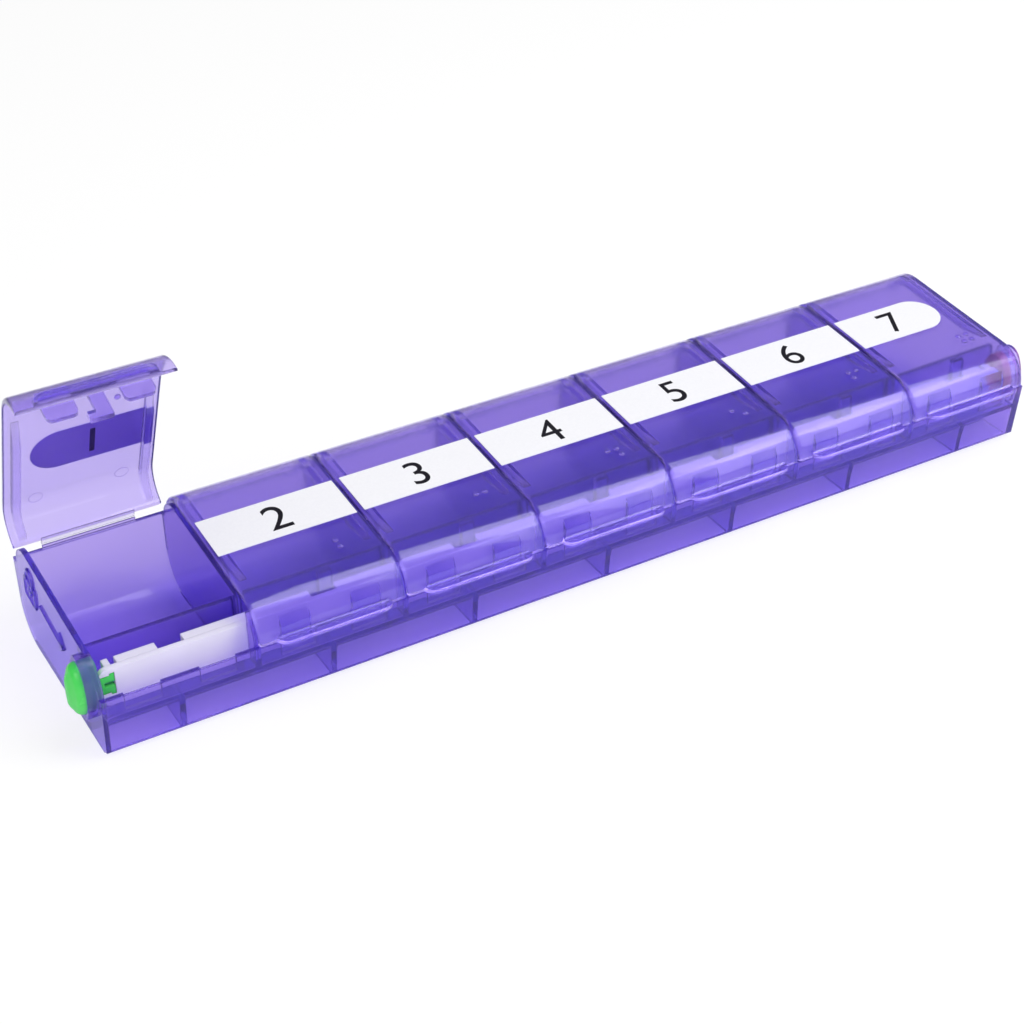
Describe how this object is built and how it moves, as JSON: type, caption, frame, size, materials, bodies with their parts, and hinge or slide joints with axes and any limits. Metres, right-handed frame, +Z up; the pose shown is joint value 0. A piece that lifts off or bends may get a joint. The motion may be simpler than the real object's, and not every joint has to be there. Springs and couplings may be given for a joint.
{
  "type": "weekly pill organizer",
  "caption": "Translucent purple weekly pill organizer: a row of compartments, each with a hinged day lid, and a sliding bar with a button at each end that locks every lid.",
  "frame": {"origin": "middle of the tray's flat underside", "axes": "+X along the row from the first day to the last, -Y to the front with the finger lips, +Z up"},
  "size_m": [0.267, 0.0625, 0.0751],
  "materials": {
    "tray_plastic": "polished translucent purple",
    "lid_plastic": "polished translucent purple",
    "film_plastic": "thin translucent purple",
    "band_print": "white print",
    "bar_plastic": "milky translucent white",
    "lock_button_plastic": "glossy green",
    "unlock_button_plastic": "glossy red"
  },
  "bodies": {
    "tray_body": {"tray": "tray_plastic"},
    "lid_sun_body": {"lid_sun": "lid_plastic", "tongue_sun": "lid_plastic", "day_band_sun": "band_print", "hinge_film_sun": "film_plastic"},
    "lid_mon_body": {"lid_mon": "lid_plastic", "tongue_mon": "lid_plastic", "day_band_mon": "band_print", "hinge_film_mon": "film_plastic"},
    "lid_tue_body": {"lid_tue": "lid_plastic", "tongue_tue": "lid_plastic", "day_band_tue": "band_print", "hinge_film_tue": "film_plastic"},
    "lid_wed_body": {"lid_wed": "lid_plastic", "tongue_wed": "lid_plastic", "day_band_wed": "band_print", "hinge_film_wed": "film_plastic"},
    "lid_thu_body": {"lid_thu": "lid_plastic", "tongue_thu": "lid_plastic", "day_band_thu": "band_print", "hinge_film_thu": "film_plastic"},
    "lid_fri_body": {"lid_fri": "lid_plastic", "tongue_fri": "lid_plastic", "day_band_fri": "band_print", "hinge_film_fri": "film_plastic"},
    "lid_sat_body": {"lid_sat": "lid_plastic", "tongue_sat": "lid_plastic", "day_band_sat": "band_print", "hinge_film_sat": "film_plastic"},
    "lock_body": {"lock_bar": "bar_plastic", "keeper_0": "bar_plastic", "keeper_1": "bar_plastic", "keeper_2": "bar_plastic", "keeper_3": "bar_plastic", "keeper_4": "bar_plastic", "keeper_5": "bar_plastic", "keeper_6": "bar_plastic", "keeper_7": "bar_plastic", "keeper_8": "bar_plastic", "keeper_9": "bar_plastic", "lock_button": "lock_button_plastic", "unlock_button": "unlock_button_plastic"}
  },
  "joints": [
    {"name": "lid_sun_hinge", "type": "hinge", "parent": "tray_body", "child": "lid_sun_body", "pos_m": [-0.111, 0.0278, 0.0216], "axis": [-1, 0, 0], "range_deg": [-70, 110]},
    {"name": "lid_mon_hinge", "type": "hinge", "parent": "tray_body", "child": "lid_mon_body", "pos_m": [-0.074, 0.0278, 0.0216], "axis": [-1, 0, 0], "range_deg": [0, 180]},
    {"name": "lid_tue_hinge", "type": "hinge", "parent": "tray_body", "child": "lid_tue_body", "pos_m": [-0.037, 0.0278, 0.0216], "axis": [-1, 0, 0], "range_deg": [0, 180]},
    {"name": "lid_wed_hinge", "type": "hinge", "parent": "tray_body", "child": "lid_wed_body", "pos_m": [0, 0.0278, 0.0216], "axis": [-1, 0, 0], "range_deg": [0, 180]},
    {"name": "lid_thu_hinge", "type": "hinge", "parent": "tray_body", "child": "lid_thu_body", "pos_m": [0.037, 0.0278, 0.0216], "axis": [-1, 0, 0], "range_deg": [0, 180]},
    {"name": "lid_fri_hinge", "type": "hinge", "parent": "tray_body", "child": "lid_fri_body", "pos_m": [0.074, 0.0278, 0.0216], "axis": [-1, 0, 0], "range_deg": [0, 180]},
    {"name": "lid_sat_hinge", "type": "hinge", "parent": "tray_body", "child": "lid_sat_body", "pos_m": [0.111, 0.0278, 0.0216], "axis": [-1, 0, 0], "range_deg": [0, 180]},
    {"name": "lock_slide", "type": "slide", "parent": "tray_body", "child": "lock_body", "axis": [1, 0, 0], "range_m": [0, 0.002]}
  ]
}
